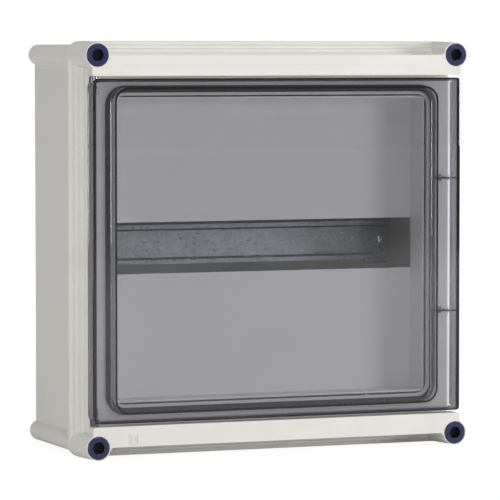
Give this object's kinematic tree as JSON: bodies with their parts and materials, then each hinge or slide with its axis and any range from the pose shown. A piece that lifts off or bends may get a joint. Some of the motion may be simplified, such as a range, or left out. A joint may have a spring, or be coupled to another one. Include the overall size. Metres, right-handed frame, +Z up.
{
  "type": "din rail enclosure",
  "caption": "Wall-mounted insulated enclosure with a stepped screwed cover, a hinged smoked clear door, a dished fascia with a module slot and a 35 mm top-hat rail.",
  "frame": {"origin": "middle of the pattern of wall fixing holes, on the rear face", "axes": "+Y out of the rear face towards the wall, +Z up, +X to the right seen from the front"},
  "size_m": [0.36, 0.161, 0.36],
  "materials": {
    "housing": "fine-textured moulded polymer",
    "fascia_grey": "satin moulded polymer",
    "seal_rubber": "matt",
    "smoked_clear": "clear smoked, polished",
    "pin_steel": "drawn wire",
    "screw_steel": "zinc plated",
    "zinc_steel": "galvanised, light spangle",
    "screw_blue": "dark blue, satin",
    "bush_brass": "turned"
  },
  "bodies": {
    "enclosure": {"base_shell": "housing", "base_gasket": "seal_rubber", "cover_frame": "housing", "door_gasket": "seal_rubber", "hinge_pin_upper": "pin_steel", "hinge_pin_lower": "pin_steel", "fascia_surround": "fascia_grey", "fascia_plate_upper": "fascia_grey", "fascia_plate_lower": "fascia_grey", "fascia_screws": "screw_steel", "din_rail": "zinc_steel", "rail_bracket_left": "zinc_steel", "rail_bracket_right": "zinc_steel", "rail_screws": "screw_steel", "rail_nuts": "screw_steel", "bracket_screws": "screw_steel", "screw_inserts": "bush_brass", "screw_seals": "seal_rubber", "screw_retainers": "pin_steel"},
    "door": {"door": "smoked_clear"},
    "screw_top_left": {"cover_screw_top_left": "screw_blue"},
    "screw_top_right": {"cover_screw_top_right": "screw_blue"},
    "screw_bottom_left": {"cover_screw_bottom_left": "screw_blue"},
    "screw_bottom_right": {"cover_screw_bottom_right": "screw_blue"}
  },
  "joints": [
    {"name": "door_hinge", "type": "hinge", "parent": "enclosure", "child": "door", "pos_m": [-0.1685, -0.151, 0], "axis": [0, 0, -1], "range_deg": [0, 120]},
    {"name": "screw_turn_top_left", "type": "hinge", "parent": "enclosure", "child": "screw_top_left", "pos_m": [-0.168, -0.161, 0.168], "axis": [0, -1, 0], "range_deg": [0, 90]},
    {"name": "screw_turn_top_right", "type": "hinge", "parent": "enclosure", "child": "screw_top_right", "pos_m": [0.168, -0.161, 0.168], "axis": [0, -1, 0], "range_deg": [0, 90]},
    {"name": "screw_turn_bottom_left", "type": "hinge", "parent": "enclosure", "child": "screw_bottom_left", "pos_m": [-0.168, -0.161, -0.168], "axis": [0, -1, 0], "range_deg": [0, 90]},
    {"name": "screw_turn_bottom_right", "type": "hinge", "parent": "enclosure", "child": "screw_bottom_right", "pos_m": [0.168, -0.161, -0.168], "axis": [0, -1, 0], "range_deg": [0, 90]}
  ]
}
